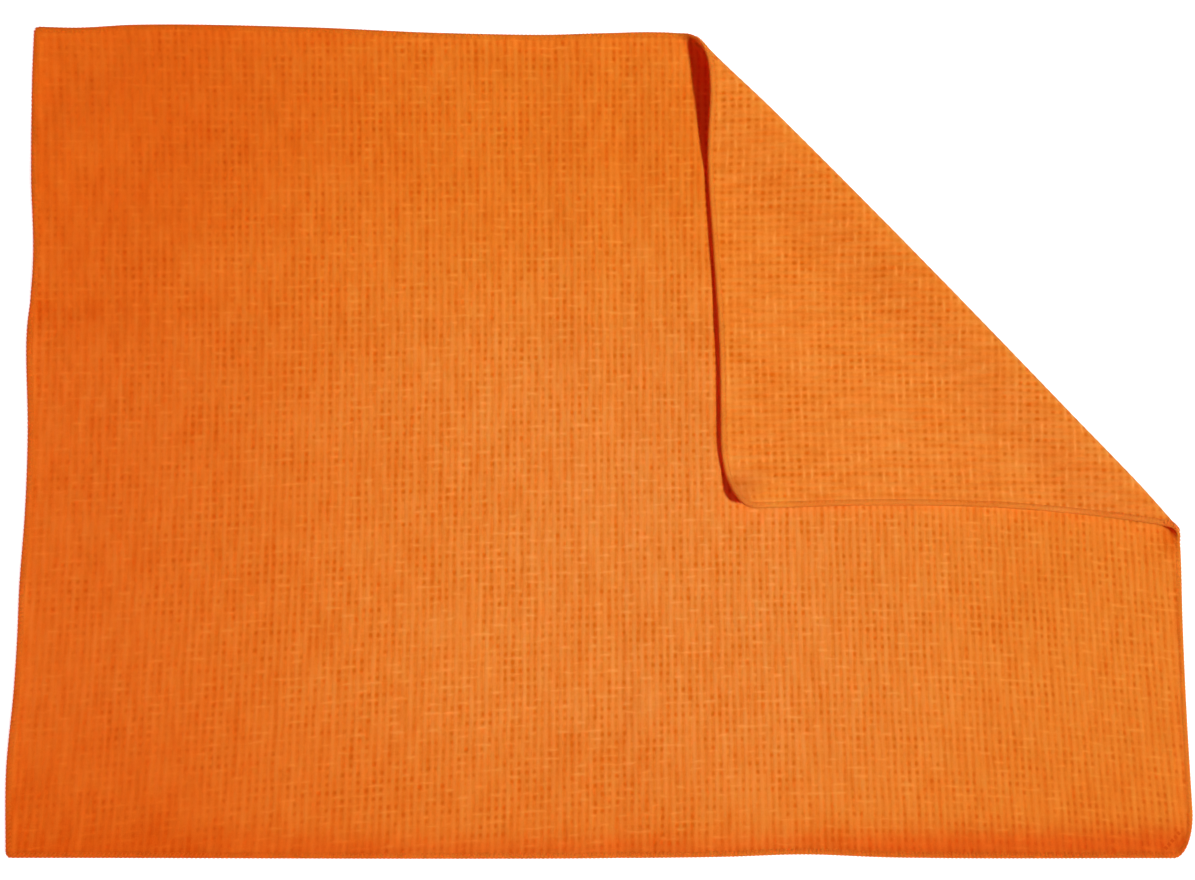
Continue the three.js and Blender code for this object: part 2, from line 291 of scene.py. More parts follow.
# Camera: the image's width and the focal length in pixels, the sensor's width, the place on the cut cloth
# that it looks at and how far it is from there, all in millimetres, and its turn in radians
IMAGE_WIDTH = 1195.0
FOCAL_LENGTH = 1300.0
SENSOR_WIDTH = 36.0
LOOK_AT = (-13.567, -0.737)
CAMERA_DISTANCE = 783.87
CAMERA_TURN = (0.07067, -0.06693, 0.01232)


def smooth_step(value):
    """Rises from 0 to 1 as 3 x squared minus 2 x cubed, and stays level outside."""
    x = np.clip(value, 0.0, 1.0)
    return x * x * (3.0 - 2.0 * x)


def smooth_curve(table, value, column=1):
    """Cubic pieces through the table's rows, with the mean of the two neighbouring chords as slopes."""
    table = np.asarray(table, float)
    x, y = table[:, 0], table[:, column]
    chord = np.diff(y) / np.diff(x)
    slope = np.concatenate([chord[:1], (chord[1:] + chord[:-1]) / 2, chord[-1:]])
    at = np.clip(value, x[0], x[-1])
    i = np.clip(np.searchsorted(x, at, side="right") - 1, 0, len(x) - 2)
    span = x[i + 1] - x[i]
    s = (at - x[i]) / span
    rise = y[i + 1] - y[i]
    start, end = slope[i] * span, slope[i + 1] * span
    return y[i] + s * start + s**2 * (3 * rise - 2 * start - end) + s**3 * (start + end - 2 * rise)


def dye_ramp(x, y, row):
    """Smooth rise along a direction: its x and y, where the rise starts, how long it is and how high."""
    across, up, start, length, height = row
    return height * smooth_step((across * x + up * y - start) / length)


def push_into_corner(x, y, corner, inset, slack=0.0):
    """Moves points of a corner's quadrant that lie outside its ellipse onto it, straight towards its centre.
    The last value tells which points have moved, and with some slack also those that lie just inside."""
    cx, cy, rx, ry = corner
    rx, ry = rx - inset, ry - inset
    dx, dy = (x - cx) * np.sign(cx), (y - cy) * np.sign(cy)
    share = np.hypot(dx / rx, dy / ry)
    outside = (dx > 0) & (dy > 0) & (share > 1.0 - slack / min(rx, ry))
    share = np.where(outside, np.maximum(share, 1e-9), 1.0)
    return cx + (x - cx) / share, cy + (y - cy) / share, outside


def rounded_corners(inset):
    """The corners that are still round on a line that runs this far inside the cut edge."""
    corners = [FAR_CORNER, NEAR_CORNER]
    if inset < LEFT_CORNER_RADIUS:
        r = LEFT_CORNER_RADIUS
        corners.append((LEFT_EDGE[0][1] + r, BOTTOM_EDGE[0][1] + r, r, r))
        corners.append((LEFT_EDGE[-1][1] + r, TOP_EDGE[0][1] - r, r, r))
    return corners


def cut_point(s, t, inset):
    """Point of the cut cloth: s goes from the left edge to the right, t from the bottom to the top, between
    lines that run inset inside the cut edges. Each depends on the other, so they are found in turns."""
    x, y = np.zeros_like(s), np.zeros_like(t)
    for _ in range(TURNS):
        left, right = smooth_curve(LEFT_EDGE, y), smooth_curve(RIGHT_EDGE, y)
        x = left + inset + s * (right - left - 2 * inset)
        bottom, top = smooth_curve(BOTTOM_EDGE, x), smooth_curve(TOP_EDGE, x)
        y = bottom + inset + t * (top - bottom - 2 * inset)
    for corner in rounded_corners(inset):
        x, y, _ = push_into_corner(x, y, corner, inset)
    return x, y


def cut_share(x, y, inset):
    """The s and t of a point of the cut cloth."""
    left, right = smooth_curve(LEFT_EDGE, y), smooth_curve(RIGHT_EDGE, y)
    bottom, top = smooth_curve(BOTTOM_EDGE, x), smooth_curve(TOP_EDGE, x)
    return (x - left - inset) / (right - left - 2 * inset), (y - bottom - inset) / (top - bottom - 2 * inset)


def edge_distance(x, y):
    """Distance from the nearest cut edge, less inside a rounded corner."""
    near = np.minimum(x - smooth_curve(LEFT_EDGE, y), smooth_curve(RIGHT_EDGE, y) - x)
    near = np.minimum(near, y - smooth_curve(BOTTOM_EDGE, x))
    near = np.minimum(near, smooth_curve(TOP_EDGE, x) - y)
    for cx, cy, rx, ry in (FAR_CORNER, NEAR_CORNER):
        dx, dy = x - cx, (y - cy) * np.sign(cy)
        inside = (1.0 - np.hypot(dx / rx, dy / ry)) * min(rx, ry)
        near = np.where((dx > 0) & (dy > 0), np.minimum(near, inside), near)
    return near


def fold_sizes(along):
    """Where the bend starts, its length, the roll's height and the upper layer's way down, along the fold."""
    nose, loft, ramp = (smooth_curve(FOLD, along, column) for column in (1, 2, 3))
    return nose - loft / 2, np.pi * (loft - CLOTH) / 2, loft, ramp


def bells(x, y, lines):
    """Sum of bells across the lines, each fading past its line's ends."""
    total = np.zeros_like(x)
    for x1, y1, x2, y2, size, width in lines:
        dx, dy = x2 - x1, y2 - y1
        share = np.clip(((x - x1) * dx + (y - y1) * dy) / (dx * dx + dy * dy), 0.0, 1.0)
        away = np.hypot(x - x1 - share * dx, y - y1 - share * dy)
        total += size * np.exp(-((away / width) ** 2))
    return total


def fold(x, y, depth):
    """Folds the cut cloth. Before the bend it lies on z = 0. It then rolls round a half circle as high as the
    loft, and runs back, coming down by a smooth step to its rest height. The tip curls up a little more."""
    across, along = (x + y) * DIAGONAL, (x - y) * DIAGONAL
    start, bend, loft, ramp = fold_sizes(along)
    past = across - start
    turn = np.pi * np.clip(past / bend, 0.0, 1.0)
    run = np.maximum(past - bend, 0.0)
    share = np.clip(run / ramp, 0.0, 1.0)
    fall = (loft - REST_TOP) * 6 * share * (1 - share) / ramp
    flat, rolled, upper = past <= 0, (past > 0) & (past < bend), past >= bend
    reach = np.where(flat, across, start + loft / 2 * np.sin(turn) - run)
    height = np.where(upper, loft - (loft - REST_TOP) * smooth_step(share), loft / 2 * (1 - np.cos(turn)))
    out = np.where(rolled, -np.sin(turn), np.where(upper, fall / np.hypot(fall, 1), 0.0))
    up = np.where(rolled, np.cos(turn), np.where(upper, -1 / np.hypot(fall, 1), 1.0))
    reach = reach + depth * out
    height = np.where(flat, 0.0, height) + depth * up
    lift = TIP_LIFT * smooth_step(1 - np.hypot(x - TIP[0], y - TIP[1]) / TIP_REACH)
    crease = bells(x, y, CREASES)
    height = height + smooth_step(run / ramp) * (lift - crease * FOLDED_SHARE)
    settled = smooth_step((-past - ROLL_GAP) / ROLL_FADE) * (1 - covered(x, y))
    height = height + np.where(flat, crease * settled * np.clip(depth / CLOTH, 0.0, 1.0), 0.0)
    return np.stack([(reach + along) * DIAGONAL, (reach - along) * DIAGONAL, height], -1)


def under_flap(x, y):
    """How far inside the folded layer's outline a point of the lower layer lies, found by mirroring it."""
    across, along = (x + y) * DIAGONAL, (x - y) * DIAGONAL
    start, bend, _, _ = fold_sizes(along)
    mirrored = start + bend + (start - across)
    inside = edge_distance((mirrored + along) * DIAGONAL, (mirrored - along) * DIAGONAL)
    return np.where(across < start, inside, -1.0)


def covered(x, y):
    """1 well under the folded layer, 0 outside it, with a soft border."""
    return smooth_step(under_flap(x, y) / COVER_FADE)


def sway(table, across, up):
    """Sum of the table's rows: each its size times the powers of the place."""
    return sum(size * (across / HALF_LENGTH) ** i * (up / HALF_WIDTH) ** j for i, j, size in table)


def weave_place(across, up):
    """Place on the cut cloth of a point of the even weave."""
    return across + sway(COLUMN_SWAY, across, up), up + sway(ROW_SWAY, across, up)


def weave_cell(x, y):
    """Column and row of the weave at a place on the cut cloth, found in turns."""
    across, up = x, y
    for _ in range(TURNS):
        across, up = x - sway(COLUMN_SWAY, across, up), y - sway(ROW_SWAY, across, up)
    return across / CELL_WIDTH, up / CELL_HEIGHT


def waffle(u, v):
    """Relief of the weave over its mean height: upright ribs as cosines, with lower ribs across them."""
    upright = 0.5 + 0.5 * np.cos(2 * np.pi * u)
    cross = 0.5 + 0.5 * np.cos(2 * np.pi * v)
    return RELIEF * (np.maximum(upright, CROSS_RIB * cross) - MEAN_HEIGHT)


def weave_lattice():
    """Points of the mesh on the cut cloth: the weave's lattice, with what lies outside the hem's inner line
    moved onto it, first along its row, then along its column, then into the round corners."""
    columns = np.arange(-CELLS_ACROSS * COLUMNS_PER_CELL, CELLS_ACROSS * COLUMNS_PER_CELL + 1)
    rows = np.arange(-CELLS_UP * ROWS_PER_CELL, CELLS_UP * ROWS_PER_CELL + 1)
    i, j = np.meshgrid(columns, rows, indexing="ij")
    step_x, step_y = CELL_WIDTH / COLUMNS_PER_CELL, CELL_HEIGHT / ROWS_PER_CELL
    across, up = i * step_x, j * step_y
    moved = np.zeros(across.shape, bool)
    for edge, side in ((LEFT_EDGE, -1), (RIGHT_EDGE, 1)):
        end = np.full(across.shape, side * HALF_LENGTH)
        for _ in range(EDGE_TURNS):
            x, y = weave_place(end, up)
            end = end + smooth_curve(edge, y) - side * HEM_WIDTH - x
        outside = side * (across - end) > -SNAP * step_x
        across = np.where(outside, end, across)
        moved |= outside
    for edge, side in ((BOTTOM_EDGE, -1), (TOP_EDGE, 1)):
        end = np.full(up.shape, side * HALF_WIDTH)
        for _ in range(EDGE_TURNS):
            x, y = weave_place(across, end)
            end = end + smooth_curve(edge, x) - side * HEM_WIDTH - y
        outside = side * (up - end) > -SNAP * step_y
        up = np.where(outside, end, up)
        moved |= outside
    x, y = weave_place(across, up)
    for corner in rounded_corners(HEM_WIDTH):
        x, y, outside = push_into_corner(x, y, corner, HEM_WIDTH, SNAP * step_x)
        moved |= outside
    return i, j, x, y, moved


def drop_repeats(polygons):
    """Four-cornered faces as one long list of corners and the count of each, without repeated corners."""
    keep = polygons != np.roll(polygons, -1, axis=1)
    count = keep.sum(1)
    full = count >= 3
    return polygons[full][keep[full]], count[full]


def flip_faces(corners, sizes):
    """Turns every face round by listing its corners backwards."""
    starts = np.concatenate([[0], np.cumsum(sizes)[:-1]])
    place = np.arange(len(corners)) - np.repeat(starts, sizes)
    return corners[np.repeat(starts + sizes - 1, sizes) - place]


def merge_blocks(quads, block, border, x, y):
    """Faces with block -1 are left out. Those that share a block become one face. It keeps only the corners
    where three or more faces meet and those on the border, in the order of their angle round its middle."""
    starts, ends = quads, np.roll(quads, -1, axis=1)
    real = (starts != ends).ravel()
    a, b = starts.ravel()[real], ends.ravel()[real]
    owner = np.repeat(np.where(block < 0, -1 - np.arange(len(quads)), block), 4)[real]
    size = len(x)
    forward, backward = a.astype(np.int64) * size + b, b.astype(np.int64) * size + a
    order = np.argsort(forward)
    twin = order[np.clip(np.searchsorted(forward[order], backward), 0, len(order) - 1)]
    inner = (forward[twin] == backward) & (owner[twin] == owner)
    a, b, owner = a[~inner], b[~inner], owner[~inner]
    pairs = np.unique(np.sort(np.stack([a, b], -1), axis=1), axis=0)
    needed = (np.bincount(pairs.ravel(), minlength=size) > 2) | border
    kept = (owner >= 0) & needed[a]
    _, owner, count = np.unique(owner[kept], return_inverse=True, return_counts=True)
    corners = a[kept]
    middle_x = np.bincount(owner, x[corners]) / count
    middle_y = np.bincount(owner, y[corners]) / count
    turn = np.arctan2(y[corners] - middle_y[owner], x[corners] - middle_x[owner])
    corners = corners[np.lexsort((turn, owner))]
    whole = count > 2
    return corners[np.repeat(whole, count)], count[whole]


def towel_mesh():
    """The closed cloth: its face and its back on the weave's lattice, and the hem as rings between them. Each
    point has its place on the cut cloth, its depth, and face, back or hem as its side."""
    i, j, x, y, moved = weave_lattice()
    plan = np.round(np.stack([x.ravel(), y.ravel()], -1), DECIMALS)
    points, index = np.unique(plan, axis=0, return_inverse=True)
    index = index.reshape(x.shape)
    quads = np.stack([index[:-1, :-1], index[1:, :-1], index[1:, 1:], index[:-1, 1:]], -1).reshape(-1, 4)
    inside = ~(moved[:-1, :-1] & moved[1:, :-1] & moved[1:, 1:] & moved[:-1, 1:]).ravel()
    cell_i = ((i[:-1, :-1] + CELLS_ACROSS * COLUMNS_PER_CELL) // COLUMNS_PER_CELL).ravel()[inside]
    cell_j = ((j[:-1, :-1] + CELLS_UP * ROWS_PER_CELL) // ROWS_PER_CELL).ravel()[inside]
    used, quads = np.unique(quads[inside], return_inverse=True)
    quads = quads.reshape(-1, 4)
    x, y = points[used].T
    count = len(x)

    across, along = (x + y) * DIAGONAL, (x - y) * DIAGONAL
    start, bend, _, _ = fold_sizes(along)
    past = across - start
    face_hidden = (past > bend + FACE_SEEN) | (under_flap(x, y) > UNDER_SEEN)
    back_hidden = past < -BACK_SEEN
    on_roll = np.sin(np.pi * np.clip(past / bend, 0.0, 1.0))
    woven = smooth_step((edge_distance(x, y) - WEAVE_START) / (WEAVE_WHOLE - WEAVE_START))
    relief = waffle(*weave_cell(x, y)) * woven * (1 - ROLL_PRESSED * on_roll)
    face_depth = CLOTH + relief * ~face_hidden
    back_depth = -relief * ~back_hidden

    starts, ends = quads.ravel(), np.roll(quads, -1, axis=1).ravel()
    starts, ends = starts[starts != ends], ends[starts != ends]
    forward, backward = starts.astype(np.int64) * count + ends, ends.astype(np.int64) * count + starts
    border = np.zeros(count, bool)
    border[starts[~np.isin(forward, backward)]] = True
    rim = np.flatnonzero(border)
    s, t = cut_share(x[rim], y[rim], HEM_WIDTH)
    turn = np.argsort(np.arctan2(t - 0.5, s - 0.5))
    rim, s, t = rim[turn], s[turn], t[turn]

    def surface(hidden):
        """Faces of one side, with the blocks that are hidden all over merged."""
        block = np.full(len(quads), -1)
        for cells in BLOCK_CELLS:
            name = (cells * MOST_CELLS + cell_i // cells) * MOST_CELLS + cell_j // cells
            shown = np.unique(name[~hidden[quads].all(1)])
            block = np.where(np.isin(name, shown), block, name)
        corners, sizes = drop_repeats(quads[block < 0])
        merged, merged_sizes = merge_blocks(quads, block, border, x, y)
        return np.concatenate([corners, merged]), np.concatenate([sizes, merged_sizes])

    face_corners, face_sizes = surface(face_hidden)
    back_corners, back_sizes = surface(back_hidden)
    xs, ys, depths = [x, x], [y, y], [face_depth, back_depth]
    coarse = np.arange(0, len(rim), 2)
    on_upper = past[rim[coarse]] > bend[rim[coarse]]
    for inset, depth, folded_depth in HEM_RINGS:
        ring_x, ring_y = cut_point(s[coarse], t[coarse], inset)
        xs.append(ring_x)
        ys.append(ring_y)
        depths.append(np.where(on_upper, folded_depth, depth))
    x, y, depth = np.concatenate(xs), np.concatenate(ys), np.concatenate(depths)
    side = np.repeat(["face", "back", "hem"], [count, count, len(coarse) * len(HEM_RINGS)])

    this = np.arange(len(coarse))
    after = (this + 1) % len(coarse)
    first, middle, last = rim[coarse], rim[(coarse + 1) % len(rim)], rim[coarse[after]]
    top_ring, low_ring = 2 * count, 2 * count + len(coarse) * (len(HEM_RINGS) - 1)
    face_wall = np.stack([last, middle, first, top_ring + this, top_ring + after], -1)
    back_wall = np.stack([first, middle, last, low_ring - count + after, low_ring - count + this], -1) + count
    walls = np.concatenate([
        np.stack([ring + after, ring + this, ring + len(coarse) + this, ring + len(coarse) + after], -1)
        for ring in range(top_ring, low_ring, len(coarse))
    ])
    rim_corners, rim_sizes = drop_repeats(np.concatenate([face_wall, back_wall]))
    back_corners = flip_faces(back_corners, back_sizes) + count
    corners = np.concatenate([face_corners, back_corners, rim_corners, walls.ravel()])
    sizes = np.concatenate([face_sizes, back_sizes, rim_sizes, np.full(len(walls), 4)])
    return x, y, depth, side, corners, sizes


def border_share(way):
    """The s and t of a place on the border: 0 to 1 along the bottom, to 2 up the right side, to 3 back along
    the top and to 4 down the left side."""
    return np.clip(np.minimum(way, 3 - way), 0, 1), np.clip(np.minimum(way - 1, 4 - way), 0, 1)


def tubes(path, aside, radius):
    """Closed four-sided tubes round many paths with equally many points: corner k of a section lies a radius
    off the path, at k quarter turns from the part of the given direction that is square to the path."""
    tangent = np.gradient(path, axis=1)
    tangent /= np.linalg.norm(tangent, axis=-1, keepdims=True)
    first = aside - (aside * tangent).sum(-1, keepdims=True) * tangent
    first /= np.linalg.norm(first, axis=-1, keepdims=True)
    second = np.cross(tangent, first)
    points = np.stack([path + radius * way for way in (first, second, -first, -second)], 2)
    index = np.arange(points[..., 0].size).reshape(points.shape[:3])
    turned = np.roll(index, -1, axis=2)
    walls = np.stack([index[:, :-1], turned[:, :-1], turned[:, 1:], index[:, 1:]], -1)
    caps = np.concatenate([index[:, 0, ::-1], index[:, -1]])
    return points.reshape(-1, 3), np.concatenate([walls.reshape(-1, 4), caps])


def overlock():
    """Two looper threads to a stitch, which zigzag from the needle's line over the cut edge and back, and the
    needle's thread along its line. On the folded layer they lie on the back, the side that shows. Each point
    comes with its stitch's place on the cut cloth, and with whether it lies on the back."""
    way = np.linspace(0.0, 4.0, BORDER_STEPS + 1)
    border = np.stack(cut_point(*border_share(way), 0.0), -1)
    length = np.concatenate([[0.0], np.cumsum(np.hypot(*np.diff(border, axis=0).T))])
    stitches = int(length[-1] / STITCH)
    begin = np.arange(stitches) * length[-1] / stitches
    middle = np.interp(begin + STITCH / 2, length, way)
    x, y = cut_point(*border_share(middle), 0.0)
    start, bend, _, _ = fold_sizes((x - y) * DIAGONAL)
    folded = (x + y) * DIAGONAL - start > bend / 2

    def place(run, inset, depth):
        """Folded place of a point of the thread, at a distance along the cut edge, an inset and a depth."""
        x, y = cut_point(*border_share(np.interp(run % length[-1], length, way)), inset)
        return fold(x, y, np.where(folded, CLOTH - depth, depth))

    share = np.linspace(0.0, STITCH / 2, len(LOOPER_WAY))
    out = np.stack([place(begin + ahead, *spot) for ahead, spot in zip(share, LOOPER_WAY)], 1)
    back = np.stack([place(begin + STITCH - ahead, *spot) for ahead, spot in zip(share, LOOPER_WAY)], 1)
    needle = np.stack([place(begin + ahead * STITCH, NEEDLE_LINE, depth) for ahead, depth in NEEDLE_WAY], 1)
    along = (place(begin + STITCH, DIRECTION_INSET, CLOTH) - place(begin, DIRECTION_INSET, CLOTH))[:, None]
    inward = (place(begin, HEM_WIDTH, CLOTH) - place(begin, 0.0, CLOTH))[:, None]
    parts = [tubes(out, along, THREAD), tubes(back, along, THREAD), tubes(needle, inward, THREAD)]
    starts = np.cumsum([0] + [len(points) for points, _ in parts[:-1]])
    quads = np.concatenate([faces + start for (_, faces), start in zip(parts, starts)])
    plan = [np.concatenate([np.repeat(value, len(points) // stitches) for points, _ in parts])
            for value in (x, y, folded)]
    return np.concatenate([points for points, _ in parts]), quads, *plan


def falloff_shade(x, y, on_back):
    """How strong the painted shade of the light falling off is. Each side of the face takes a share of what
    is still unshaded. The back, which shows on the folded corner, is lighter towards the tip."""
    # pale is the share of the face left without painted shade
    pale = np.prod([1 - dye_ramp(x, y, row) for row in FALLOFF_SHADE_RAMPS], axis=0)
    return (1 - pale) * (1 - on_back) + (BACK_FALLOFF_SHADE + dye_ramp(x, y, BACK_FALLOFF_RAMP)) * on_back


def red_shade(x, y, on_back):
    """How strong the red painted shade of weaker light is on the face: towards the left end, more so at its
    top and bottom, and in a band along the bottom hem, which widens and reddens to the right and goes on up
    the lower left edge."""
    ends = sum(dye_ramp(x, y, row) for row in RED_SHADE_ENDS) * (1 - dye_ramp(x, y, ENDS_HALVED))
    right = dye_ramp(x, y, BAND_RIGHT)
    inside = y - smooth_curve(BOTTOM_EDGE, x)
    width, red = (first + added * right for first, added in (BAND_WIDTH, BAND_RED))
    band = red * smooth_step(1 - inside / width) * (1 - BAND_LOST * smooth_step(1 - inside / BAND_RIM))
    side = dye_ramp(x, y, SIDE_DOWN) * smooth_step(1 - (x - smooth_curve(LEFT_EDGE, y)) / SIDE_WIDTH)
    return (dye_ramp(x, y, RED_SHADE_LEFT) + ends + np.maximum(band, side)) * (1 - on_back)


def seam_place(x, y):
    """Distance along the corner's seam from its middle, and off its line."""
    x1, y1, x2, y2 = SEAM
    across, up = x - (x1 + x2) / 2, y - (y1 + y2) / 2
    way_x, way_y = (x2 - x1) / SEAM_LENGTH, (y2 - y1) / SEAM_LENGTH
    return across * way_x + up * way_y, up * way_x - across * way_y


def make_object(name, points, corners, sizes):
    """A mesh object from points in metres, a long list of corners and the count of each face's corners."""
    used = np.zeros(len(points), bool)
    used[corners] = True
    renumber = np.cumsum(used) - 1
    points, corners = points[used], renumber[corners]
    mesh = bpy.data.meshes.new(name)
    mesh.vertices.add(len(points))
    mesh.vertices.foreach_set("co", points.astype(np.float32).ravel())
    mesh.loops.add(len(corners))
    mesh.loops.foreach_set("vertex_index", corners.astype(np.int32))
    mesh.polygons.add(len(sizes))
    mesh.polygons.foreach_set("loop_start", np.concatenate([[0], np.cumsum(sizes)[:-1]]).astype(np.int32))
    mesh.polygons.foreach_set("use_smooth", np.ones(len(sizes), bool))
    mesh.update(calc_edges=True)
    mesh.validate()
    made = bpy.data.objects.new(name, mesh)
    bpy.context.scene.collection.objects.link(made)
    return made, used


def store(made, name, values):
    """Keeps one number or vector for each point of the mesh, for its material."""
    values = np.asarray(values, np.float32)
    kind, field = ("FLOAT", "value") if values.ndim == 1 else ("FLOAT_VECTOR", "vector")
    made.data.attributes.new(name, kind, "POINT").data.foreach_set(field, values.ravel())


def store_shade_and_side(made, x, y, on_back):
    """Keeps the painted shade of the light falling off, the red painted shade and the side of the cloth."""
    store(made, "painted_falloff", falloff_shade(x, y, on_back))
    store(made, "painted_red_shade", red_shade(x, y, on_back))
    store(made, "back", on_back)


def make_towel():
    """The towel's mesh, with what its material reads: the place in the weave, the distance from the cut edge,
    the painted shade along creases and rims, the seam's place, the painted shade of the light falling off,
    its red and the side of the cloth. Also how far the folded cloth was shifted."""
    x, y, depth, side, corners, sizes = towel_mesh()
    folded = fold(x, y, depth)
    folded[:, 2] = np.maximum(folded[:, 2], 0.0)
    middle = (folded.min(0) + folded.max(0)) / 2
    box_x, box_y = ((cad_low[i] + cad_high[i]) / 2 / MM for i in (0, 1))
    shift = np.array([middle[0] - box_x, middle[1] - box_y, -cad_low[2] / MM])
    towel, used = make_object("waffle_towel", (folded - shift) * MM, corners, sizes)
    x, y, side = x[used], y[used], side[used]
    past_fold = (x + y) * DIAGONAL > FOLD[:, 1].mean()
    on_back = np.where(side == "hem", past_fold, side == "back")
    store(towel, "weave", np.stack([*weave_cell(x, y), np.zeros_like(x)], -1))
    store(towel, "edge_mm", edge_distance(x, y))
    # Painted shade along creases and rims
    store(towel, "painted_crease_shade", bells(x, y, CREASE_SHADE_LINES))
    store(towel, "seam", np.stack([*seam_place(x, y), np.zeros_like(x)], -1))
    store_shade_and_side(towel, x, y, on_back)
    return towel, shift


def make_thread(shift):
    """The overlock thread, with the painted shade of the light falling off, its red and the cloth's side at
    its stitches.
    """
    points, quads, x, y, on_back = overlock()
    points[:, 2] = np.maximum(points[:, 2], 0.0)
    sizes = np.full(len(quads), 4)
    thread, _ = make_object("overlock_thread", (points - shift) * MM, quads.ravel(), sizes)
    store_shade_and_side(thread, x, y, on_back)
    return thread


class Nodes:
    """An empty node material, with short ways to add a node, to do sums and to mix."""

    def __init__(self, name):
        self.material = bpy.data.materials.new(name)
        self.material.use_nodes = True
        self.tree = self.material.node_tree
        self.tree.nodes.clear()

    def add(self, kind, inputs, **settings):
        """A node with its settings and inputs, each a value or another node's output."""
        made = self.tree.nodes.new("ShaderNode" + kind)
        for key, value in settings.items():
            setattr(made, key, value)
        for key, value in inputs.items():
            if isinstance(value, bpy.types.NodeSocket):
                self.tree.links.new(value, made.inputs[key])
            else:
                made.inputs[key].default_value = value
        return made

    def sum(self, operation, *values):
        """One step of arithmetic on numbers or outputs."""
        return self.add("Math", dict(enumerate(values)), operation=operation).outputs[0]

    def step(self, value, low, high, start=0.0, end=1.0):
        """Goes smoothly from start to end as the value goes from low to high."""
        inputs = {"Value": value, "From Min": low, "From Max": high, "To Min": start, "To Max": end}
        return self.add("MapRange", inputs, interpolation_type="SMOOTHSTEP").outputs[0]

    def wave(self, value):
        """Swings from 1 to 0 and back to 1 each time the value rises by 1."""
        cosine = self.sum("COSINE", self.sum("MULTIPLY", value, 2 * np.pi))
        return self.sum("MULTIPLY_ADD", cosine, 0.5, 0.5)

    def kept(self, name, kind="Fac"):
        """A number, or with the kind Vector a place, kept on the mesh."""
        return self.add("Attribute", {}, attribute_name=name).outputs[kind]

    def tint(self, amount, colour, factor):
        """A colour multiplied by another, by an amount."""
        inputs = {"Fac": amount, "Color1": colour, "Color2": factor}
        return self.add("MixRGB", inputs, blend_type="MULTIPLY").outputs[0]

    def noise(self, vector, scale, detail=2.0, roughness=0.5, stretch=(1, 1, 1)):
        """Soft noise around a half, on coordinates stretched by a factor for each axis."""
        stretched = self.add("VectorMath", {0: vector, 1: stretch}, operation="MULTIPLY").outputs[0]
        inputs = {"Vector": stretched, "Scale": scale, "Detail": detail, "Roughness": roughness}
        return self.add("TexNoise", inputs).outputs["Fac"]

    def chance(self, across, up):
        """A number of pure chance for each pair of values."""
        pair = self.add("CombineXYZ", {0: across, 1: up}).outputs[0]
        return self.add("TexWhiteNoise", {"Vector": pair}, noise_dimensions="2D").outputs["Value"]

    def colours(self, value, *stops):
        """A ramp through colours, each with its place between 0 and 1."""
        ramp = self.add("ValToRGB", {"Fac": value})
        while len(ramp.color_ramp.elements) < len(stops):
            ramp.color_ramp.elements.new(0.5)
        for element, (place, colour) in zip(ramp.color_ramp.elements, stops):
            element.position = place
            element.color = (*colour, 1)
        return ramp.outputs["Color"]

    def finish(self, surface):
        """The finished material, with its surface joined to its output."""
        self.add("OutputMaterial", {"Surface": surface.outputs[0]})
        return self.material


def dyed_and_shaded(nodes, tone):
    """The dye's colour for a tone, multiplied by the painted shade of the light falling off, the red painted
    shade and the side of the cloth at each place.
    """
    colour = nodes.colours(tone, *DYE_AND_RELIEF_SHADE)
    # Tints for the painted shade of the light falling off, the red painted shade and the back
    for name, dye in (("painted_falloff", FALLOFF_SHADE_TINT), ("painted_red_shade", RED_SHADE_TINT), ("back", BACK_DYE)):
        colour = nodes.tint(nodes.kept(name), colour, dye)
    return colour


def microfibre(nodes, colour, height, rise):
    """Matt microfibre with a faint sheen, into which light sinks a little and reddens."""
    bump = nodes.add("Bump", {"Strength": 0.4, "Distance": rise, "Height": height})
    return nodes.finish(nodes.add("BsdfPrincipled", {
        "Base Color": colour, "Roughness": 0.8,
        "Specular IOR Level": 0.35, "Specular Tint": (1.0, 0.6, 0.1, 1),
        "Sheen Weight": 0.06, "Sheen Roughness": 0.5, "Sheen Tint": (1.0, 0.5, 0.08, 1),
        "Subsurface Weight": 0.3, "Subsurface Radius": (1.0, 0.2, 0.05), "Subsurface Scale": 0.003,
        "Normal": bump.outputs["Normal"],
    }, subsurface_method="BURLEY"))


def weave_parts(nodes, weave):
    """Strengths of the weave's parts at a place in it, in cells. Upright ribs and the rows across them swing
    between 0 and 1. Pits lie between both, strong by chance and in clusters, and their darker tone is a
    painted shade. Bars are bits of a row on top."""
    split = nodes.add("SeparateXYZ", {0: weave})
    rib_wander = nodes.noise(weave, scale=0.35, stretch=(1, 0.5, 1))
    row_wander = nodes.noise(weave, scale=0.5, stretch=(0.5, 1, 1))
    u = nodes.sum("MULTIPLY_ADD", rib_wander, RIB_WANDER, split.outputs[0])
    v = nodes.sum("MULTIPLY_ADD", row_wander, ROW_WANDER, split.outputs[1])
    rib, row = nodes.wave(u), nodes.wave(v)
    chance = nodes.chance(nodes.sum("FLOOR", u), nodes.sum("FLOOR", v))
    clusters = nodes.noise(weave, scale=0.16, detail=3.0)
    pit = nodes.sum("MULTIPLY", nodes.sum("SUBTRACT", 1.0, rib), nodes.sum("SUBTRACT", 1.0, row))
    pit = nodes.sum("POWER", pit, PIT_SHARPNESS)
    pit = nodes.sum("MULTIPLY", pit, nodes.step(chance, low=0.0, high=1.0, start=0.2, end=1.0))
    pit = nodes.sum("MULTIPLY", pit, nodes.step(clusters, low=0.3, high=0.7, start=0.4, end=1.3))
    loops = nodes.noise(weave, scale=1.0, detail=1.0, stretch=(0.45, 1, 1))
    bar = nodes.sum("MULTIPLY", nodes.sum("POWER", row, BAR_SHARPNESS), nodes.step(loops, low=0.5, high=0.68))
    return rib, row, pit, bar


